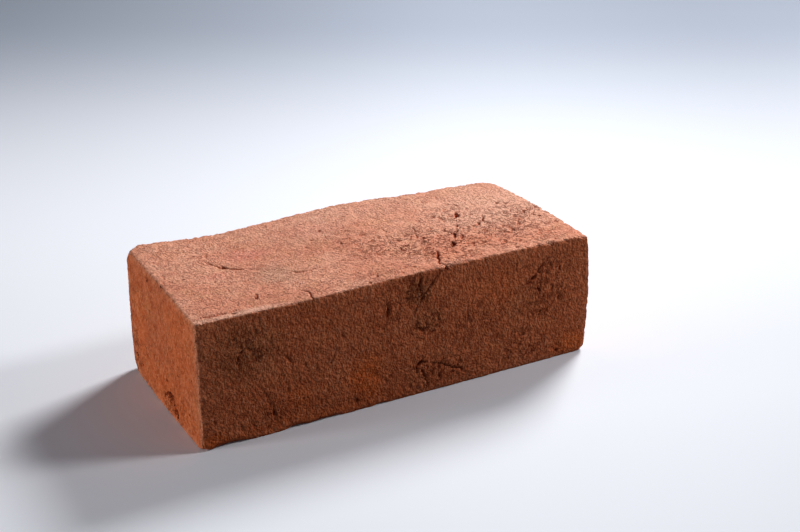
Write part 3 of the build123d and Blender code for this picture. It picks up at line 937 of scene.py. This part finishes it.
def fired_clay():
    """Matt orange-red clay, sandy and paler on top with painted sheen, with painted shade in its
    hollows, and specks of sand.
    """
    shader = Shader(bpy.data.materials.new("fired_clay"))
    place = shader.node("ShaderNodeTexCoord", output="Object")
    mask = {name: shader.attribute(name) for name in MASKS}
    mask["sides"] = 1 - mask["top_sand_and_painted_sheen"]

    clouds = shader.noise(place, 26, 3, 0.6)
    mottle = shader.between(shader.noise(place, 6, 4, 0.7), 0.38, 0.66)
    tan = shader.between(shader.noise(place, 11, 3, 0.7), 0.5, 0.7)
    grains = shader.noise(shader.stretched(place, 1.0, 1.0, 0.75), 1.4, 3, 0.75)
    darker, lighter = shader.between(grains, 0.52, 0.3), shader.between(grains, 0.5, 0.7)
    flecks = shader.between(shader.noise(place, 0.9, 2, 0.8), 0.6, 0.76)
    creases = hairlines(shader, place, mask["rough"])

    side = side_tint(shader, mask, clouds, mottle, tan)
    top = top_tint(shader, mask, clouds, mottle, tan)
    tint = shader.layered(
        # The top, paler partly for sand and partly as painted sheen
        shader.mix(mask["top_sand_and_painted_sheen"], side, top),
        # Lighter arrises: wear, and on the ends also painted highlight against the dark line that
        # shading leaves there
        (mask["worn"] * (0.3 + 0.5 * mask["ends"]), (226, 158, 124)),
        (darker * (0.26 + 0.08 * mask["rough"] + 0.22 * mask["sides"]), (146, 48, 14)),
        (lighter * (0.2 + 0.15 * mask["top_sand_and_painted_sheen"]), (240, 190, 158)),
        (flecks * (0.3 + 0.3 * mask["sides"]), (240, 194, 164)),
        # Painted shade in the hairline creases
        (creases * 0.7, (134, 40, 10)),
    )
    # Painted shade for the hollows and fine recesses, darker on the sides than on the top
    shade = shader.mix(mask["top_sand_and_painted_sheen"], colour(114, 36, 10), colour(180, 78, 42))
    tint = shader.mix(mask["recess_painted_shade"] * 0.5, tint, shade)
    tint = shader.mix(mask["hollow_painted_shade"] * 0.88, tint, shade)

    sockets = {
        "Base Color": tint,
        "Roughness": 0.85 + 0.1 * grains,
        "Specular IOR Level": 0.08,
        "Normal": fine_bump(shader, place, mask, creases),
    }
    return shader.complete(shader.surface("ShaderNodeBsdfPrincipled", sockets))


def studio_floor():
    """Pale cloth-white to the camera, with painted shade away from it and to its right, dimmer to
    the light, and one with the backdrop far off.
    """
    shader = Shader(bpy.data.materials.new("studio_floor"))
    ray = shader.node("ShaderNodeLightPath", output="Is Camera Ray")
    place = shader.node("ShaderNodeTexCoord", output="Object")
    away = shader.between(shader.along(place, AWAY), *DARKENS_AWAY)
    aside = shader.between(shader.along(place, ASIDE), *DARKENS_ASIDE)
    # Painted shade: the floor darkens away from the camera and to its right
    shown = shader.mix(away, FLOOR_NEAR, FLOOR_FAR_PAINTED_SHADE)
    shown = shader.mix(aside * ASIDE_SHADE, shown, BLACK)
    tint = shader.mix(ray, FLOOR_LIT, shown)
    sockets = {"Base Color": tint, "Roughness": 0.9, "Specular IOR Level": 0.0}
    cloth = shader.surface("ShaderNodeBsdfPrincipled", sockets)
    glow = shader.surface("ShaderNodeEmission", {"Color": BACKDROP})
    gap = shader.vector_math("LENGTH", place, output="Value")
    fade = shader.between(gap, *FADES) * ray
    return shader.complete(shader.surface("ShaderNodeMixShader", {0: fade, 1: cloth, 2: glow}))


# The scene

def placed(name, data):
    """A new object of the scene that shows the mesh, lamp or camera."""
    piece = bpy.data.objects.new(name, data)
    bpy.context.scene.collection.objects.link(piece)
    return piece


def brick():
    """The brick's dressed surface, which stands for the plain solid."""
    points, quads, normals = block_surface()
    height, masks = relief(points, normals)
    points = points + normals * height[:, None]
    points[:, 2] = np.maximum(points[:, 2], 0)
    piece = placed("clay_brick", surface_mesh("clay_brick", points, quads, masks))
    thin(piece, MOST_TRIANGLES)
    piece.data.materials.append(fired_clay())
    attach(piece, "root")
    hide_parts("brick")


def floor():
    """A wide plain floor, level with the bed face."""
    mesh = bpy.data.meshes.new("studio_floor")
    signs = [(-1, -1), (1, -1), (1, 1), (-1, 1)]
    corners = [(x * FLOOR_REACH, y * FLOOR_REACH, 0) for x, y in signs]
    mesh.from_pydata(corners, [], [(0, 1, 2, 3)])
    mesh.materials.append(studio_floor())
    piece = placed("studio_floor", mesh)


def softbox(name, azimuth, elevation, distance, width, level):
    """A round lamp turned to the brick. Level is how bright it makes a white face before it."""
    azimuth, elevation = radians(azimuth), radians(elevation)
    flat = cos(elevation)
    way = Vector((flat * cos(azimuth), flat * sin(azimuth), sin(elevation)))
    lamp = bpy.data.lights.new(name, "AREA")
    lamp.shape = "DISK"
    lamp.size = width
    lamp.energy = level * pi * pi * distance**2
    piece = placed(name, lamp)
    piece.location = way * distance + Vector((0, 0, HEIGHT / 2 * MM))
    piece.rotation_euler = way.to_track_quat("Z", "Y").to_euler()


def sky(level):
    """Faint even light from all round, with a pale backdrop for the camera."""
    shader = Shader(bpy.data.worlds.new("studio"))
    ray = shader.node("ShaderNodeLightPath", output="Is Camera Ray")
    light = (*(level * share for share in SKY_TINT), 1.0)
    shade = shader.mix(ray, light, BACKDROP)
    background = shader.surface("ShaderNodeBackground", {"Color": shade})
    bpy.context.scene.world = shader.complete(background, "ShaderNodeOutputWorld")


def camera():
    """The camera, as far off, as high and as far round the brick as in the photo."""
    azimuth, down = radians(VIEW_AZIMUTH), radians(VIEW_DOWN)
    view = Vector((-sin(azimuth) * cos(down), cos(azimuth) * cos(down), -sin(down)))
    lens = bpy.data.cameras.new("camera")
    lens.lens = LENS
    lens.sensor_width = SENSOR_WIDTH
    lens.clip_start = NEAREST_SHOWN
    piece = placed("camera", lens)
    piece.location = Vector(VIEW_FROM) * MM
    piece.rotation_euler = view.to_track_quat("-Z", "Y").to_euler()
    bpy.context.scene.camera = piece


camera()
floor()
sky(SKY_LEVEL)
for lamp in LAMPS:
    softbox(*lamp)
brick()

bpy.context.scene.view_settings.view_transform = "Standard"
